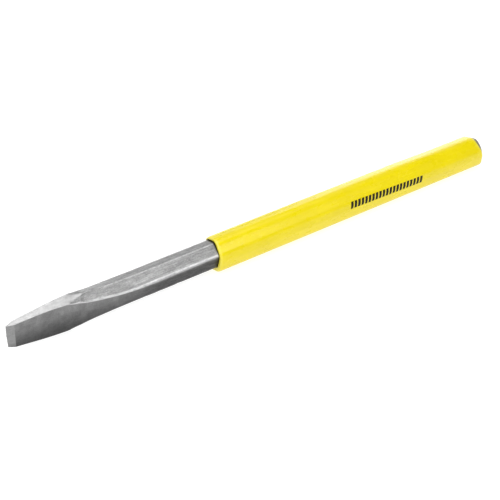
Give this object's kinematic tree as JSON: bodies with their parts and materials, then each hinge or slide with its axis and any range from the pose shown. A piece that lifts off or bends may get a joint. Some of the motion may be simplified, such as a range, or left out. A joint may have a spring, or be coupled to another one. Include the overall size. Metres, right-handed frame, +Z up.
{
  "type": "cold chisel",
  "caption": "Flat cold chisel: forged hexagonal steel bar with a hollow-tapered blade, bevelled cutting edge and chamfered struck head, in a soft vinyl grip sleeve.",
  "frame": {"origin": "middle of the chisel's length and width, on the surface that it lies on", "axes": "+X from the cutting edge to the struck head, +Z up, +Y across; the blade's width leans 30 degrees from vertical towards -Y"},
  "size_m": [0.3, 0.0196, 0.0203],
  "materials": {
    "steel": "forged and drawn tool steel, lightly blasted grey, with finely ground narrow sides and bevels",
    "grip": "glossy soft vinyl, bright yellow",
    "ink": "thin black print on the grip"
  },
  "bodies": {
    "root": {"chisel_body": "steel", "grip_sleeve": "grip"}
  },
  "joints": []
}
